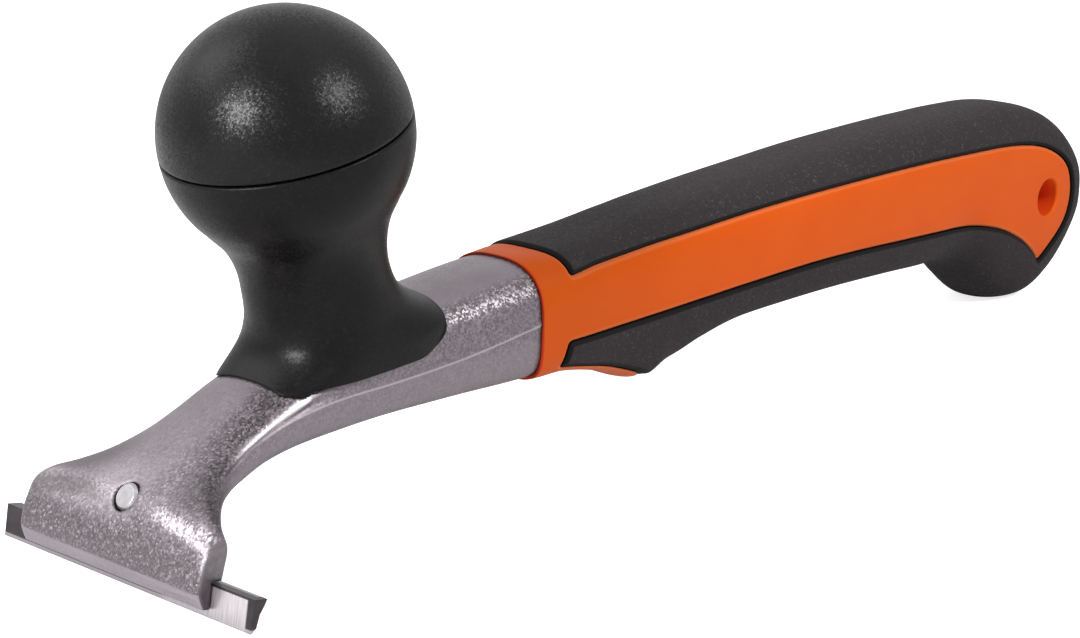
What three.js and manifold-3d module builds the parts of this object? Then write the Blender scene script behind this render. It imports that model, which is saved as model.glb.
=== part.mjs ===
import * as THREE from "three";
import { mergeVertices } from "three/addons/utils/BufferGeometryUtils.js";
import Module from "manifold-3d";

const wasm = await Module();
wasm.setup();

// A two-handed paint scraper: a cast head, neck and tang, a carbide blade held by a clamp jaw,
// a palm knob bolted on the neck, and a two-component handle moulded over the tang.
// Drawing frame, in millimetres: the origin is the middle of the cutting edge,
// +X runs from the handle to the blade, +Y is the tool's left side and +Z is up.
// In an outline, reach is the distance behind the cutting edge and height is measured from it.

// Clearances
const fitGap = 0.3;
const overrun = 8;

// Blade
const bladeLength = 65;
const bladeWidth = 5.8;
const bladeThickness = 2.85;
const bladeLean = THREE.MathUtils.degToRad(9);
const bladeShift = 1.3;

// Blade section: rise along the blade and depth behind its front face, as shares of its width and
// thickness. The back is hollow ground from a thick top down to the cutting edge.
const bladeSectionShares = [
  [0, 0],
  [1, 0],
  [0.98, 1],
  [0.8, 0.84],
  [0.55, 0.54],
  [0.17, 0.38],
];

// Head and neck casting
const collarReach = 93;
const neckHeight = 40.1;
const headWidth = 47.4;
const barWidth = 24.4;
const barInsertLength = 4.5;
const tangLength = 113;
const tangWidth = 12;
const tangTop = 37.2;
const tangBottom = 24.6;
const tangTaper = 3;
const keyDiameter = 6.4;
const keyInsets = [45, 89];
const tangReach = collarReach + tangLength;
const keyReaches = keyInsets.map((inset) => collarReach + inset);

// Clamp: the screw runs square to the seat behind the head
const screwReach = 2.2;
const screwHeight = 14.6;
const screwTilt = THREE.MathUtils.degToRad(32);
const screwDiameter = 5;
const screwGrip = 9.5;
const screwHeadDiameter = 9.5;
const screwHeadHeight = 2.75;
const screwKeyWidth = 3;
const screwKeyDepth = 1.6;
const washerDiameter = 10;
const washerThickness = 1;
const jawThickness = 3.8;
const jawWidth = 28;
const jawTongueWidth = 16;
const jawHeelRise = 4;
const jawHeelLength = 1.4;
const jawHeelStep = 0.5;
const jawTongueDrop = 3.4;
const jawDrop = 6.6;
const jawClearance = 0.36;
const jawEdgeShare = 0.5;
const shoulderRise = 1.0;

// Palm knob
const knobDiameter = 45;
const knobReach = 39.5;
const knobHeight = 71.4;
const knobTilt = THREE.MathUtils.degToRad(15);
const knobWall = 3.4;
const knobPartingRise = 0.1;
const knobWellDiameter = 16.4;
const knobFloorThickness = 7;
const saddleDepthShare = 1.7;
const capPlugLength = 5;
const capPlugWall = 2.2;
const boltDiameter = 6;
const boltHeadDiameter = 12;
const boltHeadHeight = 4;
const boltEngagement = 11;
const boltKeyWidth = 4;
const boltKeyDepth = 2.4;
const boltWasherDiameter = 14.4;
const boltWasherThickness = 1.6;

// Handle
const handleLength = 201;
const gripHeight = 48.8;
const gripWidth = 27;
const gripSquareness = 3.2;
const panelWidth = 25.2;
const coverThickness = 2.8;
const hangHoleInset = 18;
const hangHoleHeight = 25.4;
const hangHoleDiameter = 8.8;
const hangHoleReach = collarReach + handleLength - hangHoleInset;

// Fineness of the round surfaces
const ringSteps = 28;
const coreRingSteps = 16;
const holeSides = 20;
const boltSides = 24;
const sharpestCorner = 0.4;
const curveSteps = 24;

// Neck stations from the handle to the lip: top point, under point, flare, end thickness and
// squareness. Reaches are shares of the collar's reach and heights of the neck's height. The flare
// runs from 0 at the bar's width to 1 at the head's, and the end thickness is a share of the
// thickness at mid width.
const insertShare = 1 + barInsertLength / collarReach;
const neckStationShares = [
  [insertShare, 0.955, insertShare, 0.47, -0.09, 1, 2.7],
  [1.0, 1.0, 1.0, 0.436, 0, 1, 2.7],
  [0.774, 0.953, 0.778, 0.446, 0, 1, 2.7],
  [0.57, 0.88, 0.584, 0.446, 0, 1, 2.7],
  [0.419, 0.798, 0.446, 0.42, -0.01, 1, 2.55],
  [0.306, 0.714, 0.355, 0.402, -0.02, 1, 2.35],
  [0.231, 0.633, 0.286, 0.38, -0.02, 0.97, 2.3],
  [0.161, 0.552, 0.231, 0.358, 0.03, 0.84, 2.5],
  [0.102, 0.478, 0.177, 0.336, 0.16, 0.62, 3.2],
  [0.058, 0.42, 0.144, 0.309, 0.44, 0.43, 4],
  [0.028, 0.374, 0.12, 0.264, 0.79, 0.36, 6],
  [0.01, 0.319, 0.102, 0.209, 1.0, 0.43, 9],
  [-0.0105, 0.239, 0.08, 0.145, 1.0, 0.53, 10],
  [-0.0205, 0.17, 0.0634, 0.09, 1.0, 0.64, 10],
  [-0.0242, 0.108, 0.0538, 0.047, 1.0, 0.72, 10],
  [-0.0155, 0.034, 0.0495, 0.005, 1.0, 0.85, 10],
];

// Handle stations from the collar's front to the rear end: reach behind the collar's front as a
// share of the handle's length, crest and belly as shares of the grip's height, half width as a
// share of half the grip's width, and squareness of the lower half.
const gripStationShares = [
  [0, 0.827, 0.352, 0.96, 3.2],
  [0.055, 0.85, 0.34, 1, 3.2],
  [0.105, 0.869, 0.311, 1, 3.2],
  [0.135, 0.88, 0.262, 1, 3.2],
  [0.158, 0.889, 0.213, 1, 3],
  [0.179, 0.898, 0.182, 1, 2.8],
  [0.203, 0.906, 0.21, 1, 3],
  [0.229, 0.916, 0.244, 1, 3.2],
  [0.264, 0.93, 0.288, 1, 3.2],
  [0.324, 0.951, 0.33, 1, 3.2],
  [0.408, 0.973, 0.346, 1, 3.2],
  [0.508, 0.99, 0.34, 1, 3.2],
  [0.608, 0.998, 0.324, 1, 3.2],
  [0.682, 1, 0.308, 1, 2.9],
  [0.722, 1, 0.294, 1, 2.5],
  [0.762, 0.998, 0.236, 1, 2.1],
  [0.801, 0.996, 0.1, 1, 2],
  [0.847, 0.988, 0.014, 1, 2.2],
  [0.896, 0.963, 0.003, 1, 2.4],
  [0.936, 0.914, 0.022, 1, 2.5],
  [0.965, 0.84, 0.076, 0.98, 2.5],
  [0.988, 0.738, 0.17, 0.92, 2.5],
  [1, 0.615, 0.315, 0.8, 2.5],
];

// Side outline of the orange window, in the same shares: the top pad's front end, the panel's
// upper edge, its round rear end, its lower edge back to the front, and the bump's upper edge.
const windowTopShares = [
  [0.044, 0.98],
  [0.044, 0.752],
];
const windowCrestShares = [
  [0.08, 0.77],
  [0.205, 0.801],
  [0.344, 0.831],
  [0.504, 0.845],
  [0.652, 0.846],
  [0.79, 0.832],
  [0.863, 0.807],
  [0.911, 0.762],
  [0.949, 0.68],
  [0.964, 0.58],
  [0.964, 0.47],
  [0.946, 0.35],
  [0.896, 0.213],
];
const windowLowerShares = [
  [0.896, 0.213],
  [0.882, 0.268],
  [0.851, 0.352],
  [0.8, 0.44],
  [0.732, 0.487],
  [0.613, 0.512],
  [0.464, 0.532],
  [0.326, 0.525],
  [0.168, 0.51],
  [0.038, 0.498],
];
const windowBumpShares = [
  [0.031, 0.402],
  [0.069, 0.372],
  [0.109, 0.335],
  [0.148, 0.28],
  [0.168, 0.245],
  [0.188, 0.19],
  [0.207, 0.08],
];
const windowFrontShares = [
  [0.207, -0.3],
  [-0.1, -0.3],
  [-0.1, 0.98],
];

// Knob saddle rings below the ball: depth under the ball's centre, reach of the front and of the
// rear and half width as shares of the ball's radius, squareness, and how far the ring leans with
// the neck's top.
const saddleRingShares = [
  [0.62, 0.785, 0.785, 0.785, 2, 0],
  [0.8, 0.672, 0.672, 0.672, 2, 0],
  [1.0, 0.605, 0.605, 0.605, 2, 0],
  [1.2, 0.585, 0.585, 0.587, 2, 0.1],
  [1.4, 0.585, 0.6, 0.59, 2.1, 0.4],
  [1.54, 0.62, 0.672, 0.594, 2.3, 0.7],
  [1.64, 0.695, 0.78, 0.6, 2.45, 0.95],
  [1.72, 0.81, 0.9, 0.604, 2.6, 1],
  [1.78, 0.95, 1.02, 0.606, 2.7, 1],
  [1.84, 1.03, 1.06, 0.606, 2.7, 1],
  [2.1, 1.05, 1.07, 0.6, 2.7, 1],
];
const saddleLean = 0.075;

// The knob's hollow from the well up: radius as a share of the inner radius, and depth under the
// ball's centre as a share of the ball's radius.
const knobHollowShares = [
  [0.75, 0.66],
  [0.93, 0.42],
];
const knobWellTopShare = 0.95;

// A screw head's profile from its flat end: radius and height as shares of the head's.
const headDomeShares = [
  [0.55, 1],
  [0.72, 0.94],
  [0.87, 0.75],
  [0.97, 0.48],
  [1, 0.15],
];
const screwTipShare = 0.1;

// The skirt's lower edge on the neck's flanks: reach and height as shares of the knob's height
const skirtShares = [
  [0.25, 0.37],
  [0.4, 0.39],
  [0.5, 0.376],
  [0.63, 0.382],
  [0.77, 0.4],
  [0.88, 0.424],
  [0.96, 0.47],
  [1.1, 0.6],
];

// Colours
const aluminiumPaint = { color: 0xa39ca1, roughness: 0.45, metalness: 0.9 };
const carbidePaint = { color: 0x6b666a, roughness: 0.35, metalness: 0.9 };
const steelPaint = { color: 0xb9bbbd, roughness: 0.3, metalness: 1 };
const orangePaint = { color: 0xe25f20, roughness: 0.45, metalness: 0 };
const rubberPaint = { color: 0x3a3638, roughness: 0.8, metalness: 0 };
const knobPaint = { color: 0x242324, roughness: 0.5, metalness: 0 };

// A named mesh of a geometry
function piece(name, geometry, paint) {
  const mesh = new THREE.Mesh(geometry, new THREE.MeshStandardMaterial(paint));
  mesh.name = name;
  return mesh;
}

// A closed geometry as a solid that can be cut and joined
function solidOf(geometry) {
  const bare = geometry.clone();
  bare.deleteAttribute("normal");
  bare.deleteAttribute("uv");
  const merged = mergeVertices(bare);
  const vertProperties = new Float32Array(merged.attributes.position.array);
  const triVerts = new Uint32Array(merged.index.array);
  return new wasm.Manifold(new wasm.Mesh({ numProp: 3, vertProperties, triVerts }));
}

// The geometry of a solid
function geometryOf(solid) {
  const mesh = solid.getMesh();
  const geometry = new THREE.BufferGeometry();
  geometry.setAttribute("position", new THREE.BufferAttribute(mesh.vertProperties, 3));
  geometry.setIndex(new THREE.BufferAttribute(mesh.triVerts, 1));
  geometry.computeVertexNormals();
  return geometry;
}

// A closed geometry through rings of equal count, with flat ends
function skinned(rings) {
  const count = rings[0].length;
  const positions = rings.flat().flatMap((point) => [point.x, point.y, point.z]);
  const faces = [];
  for (let i = 0; i + 1 < rings.length; i += 1) {
    for (let j = 0; j < count; j += 1) {
      const near = i * count + j;
      const next = i * count + ((j + 1) % count);
      faces.push(near, next, near + count);
      faces.push(next, next + count, near + count);
    }
  }
  const last = (rings.length - 1) * count;
  for (let j = 1; j + 1 < count; j += 1) {
    faces.push(0, j + 1, j);
    faces.push(last, last + j, last + j + 1);
  }
  const geometry = new THREE.BufferGeometry();
  geometry.setAttribute("position", new THREE.Float32BufferAttribute(positions, 3));
  geometry.setIndex(faces);
  return geometry;
}

// One table value between two rows, on a smooth curve through all the rows
function smoothValue(rows, index, share, column) {
  const row = (k) => rows[Math.min(Math.max(k, 0), rows.length - 1)][column];
  const [before, from, to, after] = [row(index - 1), row(index), row(index + 1), row(index + 2)];
  const slopeIn = (to - before) / 2;
  const slopeOut = (after - from) / 2;
  const bend = 3 * (to - from) - 2 * slopeIn - slopeOut;
  const twist = 2 * (from - to) + slopeIn + slopeOut;
  return from + slopeIn * share + bend * share ** 2 + twist * share ** 3;
}

// The rows of a table with smooth rows added between them
function smoothRows(rows, steps) {
  const result = [];
  for (let i = 0; i + 1 < rows.length; i += 1) {
    for (let k = 0; k < steps; k += 1) {
      result.push(rows[i].map((value, column) => smoothValue(rows, i, k / steps, column)));
    }
  }
  result.push(rows[rows.length - 1]);
  return result;
}

// A sine or cosine squared off: 2 gives an ellipse, larger values square its corners
function squared(value, squareness) {
  return Math.sign(value) * Math.abs(value) ** (2 / squareness);
}

// A closed outline moved outwards by a distance along its corner normals
function grownOutline(points, distance) {
  const area = THREE.ShapeUtils.area(points);
  const side = Math.sign(area) * distance;
  return points.map((point, i) => {
    const before = points[(i + points.length - 1) % points.length];
    const after = points[(i + 1) % points.length];
    const inEdge = point.clone().sub(before).normalize();
    const outEdge = after.clone().sub(point).normalize();
    const along = inEdge.clone().add(outEdge).normalize();
    const normal = new THREE.Vector2(along.y, -along.x);
    const stretch = Math.max(along.dot(outEdge), sharpestCorner);
    return point.clone().addScaledVector(normal, side / stretch);
  });
}

// An outline in X and Z, extruded to both sides of the mid-plane
function slab(points, width, centre = 0) {
  const geometry = new THREE.ExtrudeGeometry(new THREE.Shape(points), {
    depth: width,
    bevelEnabled: false,
  });
  geometry.rotateX(Math.PI / 2);
  geometry.translate(0, centre + width / 2, 0);
  return geometry;
}

// A cylinder across the tool, parallel to Y
function crossPin(diameter, length, x, z) {
  return new THREE.CylinderGeometry(diameter / 2, diameter / 2, length, holeSides).translate(x, 0, z);
}

// A profile of radius and height turned about the Z axis
function turned(profile, sides) {
  return new THREE.LatheGeometry(profile, sides).rotateX(Math.PI / 2);
}

const at = (x, z) => new THREE.Vector2(x, z);

// Blade directions: up along the blade and back through its thickness
const bladeUp = at(-Math.sin(bladeLean), Math.cos(bladeLean));
const bladeBack = at(-Math.cos(bladeLean), -Math.sin(bladeLean));
const bladePoint = (rise, depth) =>
  at(0, 0).addScaledVector(bladeUp, rise).addScaledVector(bladeBack, depth);

// Clamp directions: the screw's axis towards its front end, and up along the seat
const screwAxis = at(Math.cos(screwTilt), Math.sin(screwTilt));
const seatUp = at(-Math.sin(screwTilt), Math.cos(screwTilt));
const screwEnd = at(-screwReach, screwHeight);
const seatCentre = screwEnd.clone().addScaledVector(screwAxis, -screwGrip);
const seatPoint = (rise, depth) =>
  seatCentre.clone().addScaledVector(seatUp, rise).addScaledVector(screwAxis, -depth);

// Neck and head: rings between the top line and the under line
function neckBody(grow) {
  const rings = smoothRows(neckStationShares, 2).map((row) => {
    const [topReach, topHeight, underReach, underHeight, flare, endShare, squareness] = row;
    const top = at(-topReach * collarReach, topHeight * neckHeight);
    const under = at(-underReach * collarReach, underHeight * neckHeight);
    const up = top.clone().sub(under);
    const half = up.length() / 2;
    const middle = top.clone().add(under).multiplyScalar(0.5);
    up.normalize();
    const halfWidth = (barWidth + flare * (headWidth - barWidth)) / 2 + grow;
    return Array.from({ length: ringSteps }, (_, j) => {
      const angle = (2 * Math.PI * j) / ringSteps;
      const across = squared(Math.cos(angle), squareness);
      const lift = squared(Math.sin(angle), squareness);
      const fullness = Math.max(1 - across ** 2, 0);
      const thinning = lift < 0 ? 2 * endShare - 1 + (2 - 2 * endShare) * fullness : 1;
      const rise = lift * (half * thinning + grow);
      const point = middle.clone().addScaledVector(up, rise);
      return new THREE.Vector3(point.x, across * halfWidth, point.y);
    });
  });
  return solidOf(skinned(rings));
}

// Side outline of the tang, narrowing to the rear
function tangOutline() {
  const front = -collarReach - barInsertLength / 2;
  return [
    at(front, tangBottom),
    at(front, tangTop),
    at(-tangReach, tangTop),
    at(-tangReach, tangBottom + tangTaper),
  ];
}

// Everything behind the lip and under the blade's shoulder
function bladeSlot() {
  const face = -fitGap;
  const backEnd = bladeThickness + fitGap;
  const outline = [
    bladePoint(-overrun, face),
    bladePoint(bladeWidth + fitGap, face),
    bladePoint(bladeWidth + fitGap, backEnd),
    seatPoint(-jawTongueDrop, 0).add(at(0, shoulderRise)),
    seatPoint(-jawTongueDrop, 2 * overrun).add(at(0, -overrun)),
  ];
  return solidOf(slab(outline, headWidth + overrun));
}

// The flat seat and its pocket for the jaw's tongue
function jawPocket() {
  const outline = [
    seatPoint(jawHeelRise + fitGap, 0),
    seatPoint(-jawDrop - overrun, 0),
    seatPoint(-jawDrop - overrun, 2 * overrun),
    seatPoint(jawHeelRise + fitGap, 2 * overrun),
  ];
  return solidOf(slab(outline, jawTongueWidth + 2 * fitGap));
}

// A rod along the screw's axis, from one depth behind the seat to another
function clampRod(diameter, fromDepth, toDepth) {
  const length = toDepth - fromDepth;
  const rod = new THREE.CylinderGeometry(diameter / 2, diameter / 2, length, holeSides);
  const centre = seatPoint(0, (fromDepth + toDepth) / 2);
  rod.rotateZ(screwTilt - Math.PI / 2);
  rod.rotateX(Math.PI / 2);
  return solidOf(rod.translate(centre.x, 0, centre.y));
}

// The knob's own frame: the ball's centre, with Z along the knob's axis
const knobFrame = new THREE.Matrix4().compose(
  new THREE.Vector3(-knobReach, 0, knobHeight),
  new THREE.Quaternion().setFromAxisAngle(new THREE.Vector3(0, 1, 0), knobTilt),
  new THREE.Vector3(1, 1, 1),
);
const knobRadius = knobDiameter / 2;
const neckTopAtKnob = saddleDepthShare * knobRadius;
const knobFloor = -neckTopAtKnob + knobFloorThickness;

// The bolt's clearance hole, from the ball's centre down the knob's axis
function boltHole(depth) {
  const diameter = boltDiameter + 2 * fitGap;
  const hole = new THREE.CylinderGeometry(diameter / 2, diameter / 2, depth, boltSides);
  return hole.rotateX(Math.PI / 2).translate(0, 0, -depth / 2);
}

function headCasting() {
  const holeDiameter = screwDiameter + 2 * fitGap;
  const boltBore = boltHole(neckTopAtKnob + boltEngagement + fitGap).applyMatrix4(knobFrame);
  let solid = neckBody(0);
  solid = solid.add(solidOf(slab(tangOutline(), tangWidth)));
  solid = solid.subtract(bladeSlot());
  solid = solid.subtract(jawPocket());
  solid = solid.subtract(clampRod(holeDiameter, -screwGrip - overrun, overrun));
  solid = solid.subtract(solidOf(boltBore));
  for (const reach of keyReaches) {
    const z = tangMiddle(reach);
    solid = solid.subtract(solidOf(crossPin(keyDiameter + 2 * fitGap, 2 * tangWidth, -reach, z)));
  }
  return geometryOf(solid);
}

// Height of the middle of the tang at a reach
function tangMiddle(reach) {
  const share = (reach - collarReach) / (tangReach - collarReach);
  return (tangTop + tangBottom + share * tangTaper) / 2;
}

const bladeSection = bladeSectionShares.map(([riseShare, depthShare]) =>
  bladePoint(riseShare * bladeWidth, depthShare * bladeThickness));

function carbideBlade() {
  return slab(bladeSection, bladeLength, bladeShift);
}

// The jaw: a tongue on the seat with a heel at its top, and a wide nose that presses the blade's
// sloping back forwards and up
function clampJaw() {
  const back = fitGap + jawHeelStep + jawThickness;
  const face = fitGap + jawHeelStep;
  const [, , , upperBack, middleBack, lowerBack] = bladeSection;
  const clear = bladeBack.clone().multiplyScalar(jawClearance);
  const tongue = [
    seatPoint(jawHeelRise, fitGap),
    seatPoint(jawHeelRise - jawHeelLength, fitGap),
    seatPoint(jawHeelRise - jawHeelLength, face),
    seatPoint(-jawDrop, face),
    seatPoint(-jawDrop, back),
    seatPoint(jawHeelRise, back),
  ];
  const nose = [
    seatPoint(-jawTongueDrop - shoulderRise, face),
    upperBack.clone().add(clear),
    middleBack.clone().add(clear),
    lowerBack.clone().lerp(middleBack, jawEdgeShare).add(clear),
    seatPoint(-jawDrop, back - face),
    seatPoint(-jawDrop, back),
    seatPoint(-jawTongueDrop - shoulderRise, back),
  ];
  let solid = solidOf(slab(tongue, jawTongueWidth));
  solid = solid.add(solidOf(slab(nose, jawWidth)));
  solid = solid.subtract(clampRod(screwDiameter + 2 * fitGap, -overrun, 2 * overrun));
  return geometryOf(solid);
}

// A hexagon-socket screw with a low domed head: the head's bearing face is at zero, the shank
// runs up along Z and the head lies below
function socketScrew(shank, shankLength, head, headHeight, keyWidth, keyDepth) {
  const profile = [at(0, -headHeight)];
  for (const [radiusShare, heightShare] of headDomeShares) {
    profile.push(at((radiusShare * head) / 2, -heightShare * headHeight));
  }
  const tip = screwTipShare * shank;
  profile.push(at(head / 2, 0));
  profile.push(at(shank / 2, 0));
  profile.push(at(shank / 2, shankLength - tip));
  profile.push(at(shank / 2 - tip, shankLength));
  profile.push(at(0, shankLength));
  const socketRadius = keyWidth / Math.sqrt(3);
  const socket = new THREE.CylinderGeometry(socketRadius, socketRadius, 2 * keyDepth, 6);
  socket.rotateX(Math.PI / 2).translate(0, 0, -headHeight);
  return geometryOf(solidOf(turned(profile, boltSides)).subtract(solidOf(socket)));
}

// A flat washer that starts at zero and lies below
function washer(outer, inner, thickness) {
  return turned([
    at(inner / 2, -thickness),
    at(outer / 2, -thickness),
    at(outer / 2, 0),
    at(inner / 2, 0),
    at(inner / 2, -thickness),
  ], boltSides);
}

// The outside of the knob below its parting line, in the knob's own frame
function knobOutside() {
  const ballSteps = 4;
  const parting = Math.asin(knobPartingRise / knobRadius);
  const ballRows = [];
  for (let i = 0; i < ballSteps; i += 1) {
    const angle = parting - (i / ballSteps) * Math.asin(saddleRingShares[0][0]);
    ballRows.push([-Math.sin(angle), Math.cos(angle), Math.cos(angle), Math.cos(angle), 2, 0]);
  }
  const rows = ballRows.concat(saddleRingShares);
  const rings = rows.map((row) => {
    const [depthShare, frontShare, rearShare, widthShare, squareness, leanShare] = row;
    return Array.from({ length: ringSteps }, (_, j) => {
      const angle = (2 * Math.PI * j) / ringSteps;
      const lengthShare = Math.cos(angle) > 0 ? frontShare : rearShare;
      const x = squared(Math.cos(angle), squareness) * lengthShare * knobRadius;
      const y = squared(Math.sin(angle), squareness) * widthShare * knobRadius;
      return new THREE.Vector3(x, y, leanShare * saddleLean * x - depthShare * knobRadius);
    });
  });
  return solidOf(skinned(rings.reverse()));
}

// The hollow of the knob's lower part: a bowl that narrows into a well over the floor
function knobHollow() {
  const inner = knobRadius - knobWall;
  const well = knobWellDiameter / 2;
  const rim = knobPartingRise + overrun;
  return solidOf(turned([
    at(0, knobFloor),
    at(well, knobFloor),
    at(well, -knobWellTopShare * knobRadius),
    ...knobHollowShares.map(([radius, depth]) => at(radius * inner, -depth * knobRadius)),
    at(inner, knobPartingRise - capPlugLength - fitGap),
    at(inner, rim),
    at(0, rim),
  ], boltSides));
}

function knobBody() {
  const skirt = skirtShares.map(([reach, height]) => at(-reach * knobHeight, height * knobHeight));
  const under = [at(skirt.at(-1).x, -knobHeight), at(skirt[0].x, -knobHeight)];
  let solid = knobOutside().subtract(knobHollow());
  solid = solid.subtract(solidOf(boltHole(knobHeight)));
  const geometry = geometryOf(solid).applyMatrix4(knobFrame);
  solid = solidOf(geometry).subtract(neckBody(fitGap));
  solid = solid.subtract(solidOf(slab(skirt.concat(under), knobDiameter)));
  return geometryOf(solid);
}

// The cap: a hollow dome with a plug ring that fits inside the bowl
function knobCap() {
  const domeSteps = 9;
  const hollowSteps = 5;
  const rim = knobPartingRise + fitGap;
  const inner = knobRadius - knobWall;
  const plug = inner - fitGap;
  const startAngle = Math.asin(rim / knobRadius);
  const profile = [];
  for (let i = 0; i <= domeSteps; i += 1) {
    const angle = startAngle + (Math.PI / 2 - startAngle) * (1 - i / domeSteps);
    profile.push(at(i === 0 ? 0 : knobRadius * Math.cos(angle), knobRadius * Math.sin(angle)));
  }
  profile.push(at(plug, rim));
  profile.push(at(plug, rim - capPlugLength));
  profile.push(at(plug - capPlugWall, rim - capPlugLength));
  for (let i = 0; i <= hollowSteps; i += 1) {
    const angle = (Math.PI / 2) * (i / hollowSteps);
    const radius = plug - capPlugWall;
    profile.push(at(i === hollowSteps ? 0 : radius * Math.cos(angle), radius * Math.sin(angle)));
  }
  return turned(profile.reverse(), ringSteps);
}

// The handle's outside, or the same shape drawn in by an inset
function gripBody(inset, steps, stationSteps) {
  const lengthShare = 1 - inset / handleLength;
  const rings = smoothRows(gripStationShares, stationSteps).map((row) => {
    const [reachShare, crestShare, bellyShare, widthShare, bellySquareness] = row;
    const x = -collarReach - reachShare * lengthShare * handleLength;
    const crest = crestShare * gripHeight - inset;
    const belly = bellyShare * gripHeight + inset;
    const halfWidth = (widthShare * gripWidth) / 2 - inset;
    return Array.from({ length: steps }, (_, j) => {
      const angle = (2 * Math.PI * j) / steps;
      const squareness = Math.sin(angle) < 0 ? bellySquareness : gripSquareness;
      const y = squared(Math.cos(angle), squareness) * halfWidth;
      const lift = squared(Math.sin(angle), squareness);
      const z = (crest + belly + lift * (crest - belly)) / 2;
      return new THREE.Vector3(x, y, z);
    });
  });
  return solidOf(skinned(rings.reverse()));
}

// Side outline of the orange window
function windowOutline() {
  const place = ([reachShare, heightShare]) =>
    at(-collarReach - reachShare * handleLength, heightShare * gripHeight);
  const curve = (shares, count) => new THREE.SplineCurve(shares.map(place)).getPoints(count);
  return [
    ...windowTopShares.map(place),
    ...curve(windowCrestShares, curveSteps),
    ...curve(windowLowerShares, curveSteps).slice(1),
    ...curve(windowBumpShares, curveSteps / 3),
    ...windowFrontShares.map(place),
  ];
}

function handleCore() {
  const tangSlot = slab(grownOutline(tangOutline(), fitGap), tangWidth + 2 * fitGap);
  const holeLength = gripWidth + overrun;
  const hangHole = crossPin(hangHoleDiameter, holeLength, -hangHoleReach, hangHoleHeight);
  let solid = gripBody(0, ringSteps, 2).intersect(solidOf(slab(windowOutline(), panelWidth)));
  solid = solid.add(gripBody(coverThickness, coreRingSteps, 1));
  solid = solid.subtract(neckBody(fitGap));
  solid = solid.subtract(solidOf(tangSlot));
  solid = solid.subtract(solidOf(hangHole));
  for (const reach of keyReaches) {
    const key = crossPin(keyDiameter, tangWidth + 2 * coverThickness, -reach, tangMiddle(reach));
    solid = solid.add(solidOf(key));
  }
  return geometryOf(solid);
}

function gripRubber() {
  const window = slab(grownOutline(windowOutline(), fitGap), gripWidth + overrun);
  let solid = gripBody(0, ringSteps, 2).subtract(solidOf(window));
  solid = solid.subtract(gripBody(coverThickness - fitGap, coreRingSteps, 1));
  return geometryOf(solid);
}

// Clamp hardware, drawn along Z and laid on the screw's axis
const clampGroup = new THREE.Group();
clampGroup.position.set(seatCentre.x, 0, seatCentre.y);
clampGroup.rotation.y = Math.PI / 2 - screwTilt;
const washerDepth = fitGap + jawHeelStep + jawThickness + fitGap;
const screwHeadDepth = washerDepth + washerThickness + fitGap;
const clampScrew = piece("clamp_screw", socketScrew(
  screwDiameter,
  screwGrip + screwHeadDepth,
  screwHeadDiameter,
  screwHeadHeight,
  screwKeyWidth,
  screwKeyDepth,
), steelPaint);
clampScrew.position.z = -screwHeadDepth;
const clampWasher = piece("clamp_washer", washer(
  washerDiameter,
  screwDiameter + 2 * fitGap,
  washerThickness,
), steelPaint);
clampWasher.position.z = -washerDepth;
clampGroup.add(clampScrew, clampWasher);

// Knob hardware, on the knob's axis with the bolt pointing down
const knobGroup = new THREE.Group();
knobGroup.applyMatrix4(knobFrame);
const boltWasherTop = knobFloor + fitGap + boltWasherThickness;
const boltSeat = boltWasherTop + fitGap;
const knobBolt = piece("knob_bolt", socketScrew(
  boltDiameter,
  boltSeat + neckTopAtKnob + boltEngagement,
  boltHeadDiameter,
  boltHeadHeight,
  boltKeyWidth,
  boltKeyDepth,
), steelPaint);
knobBolt.rotation.x = Math.PI;
knobBolt.position.z = boltSeat;
const knobWasher = piece("knob_washer", washer(
  boltWasherDiameter,
  boltDiameter + 2 * fitGap,
  boltWasherThickness,
), steelPaint);
knobWasher.position.z = boltWasherTop;
const cap = piece("knob_cap", knobCap(), knobPaint);
knobGroup.add(cap, knobBolt, knobWasher);

const tool = new THREE.Group();
tool.add(piece("head_casting", headCasting(), aluminiumPaint));
tool.add(piece("carbide_blade", carbideBlade(), carbidePaint));
tool.add(piece("clamp_jaw", clampJaw(), steelPaint));
tool.add(clampGroup);
tool.add(piece("knob_body", knobBody(), knobPaint));
tool.add(knobGroup);
tool.add(piece("handle_core", handleCore(), orangePaint));
tool.add(piece("grip_rubber", gripRubber(), rubberPaint));

// The scraper stands on its cutting edge and the handle's hook, with its own frame at the middle
// of the footprint
const bounds = new THREE.Box3().setFromObject(tool);
const middle = bounds.getCenter(new THREE.Vector3());
tool.position.set(-middle.x, -middle.y, -bounds.min.z);

export default tool;
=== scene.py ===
"""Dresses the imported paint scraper: a shot-blasted casting, a carbide blade, a moulded palm knob
and a two-component handle, each lofted finely over its solid and given a procedural finish."""

import math

import bmesh
import bpy
import numpy as np
from mathutils import Matrix, Vector


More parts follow.
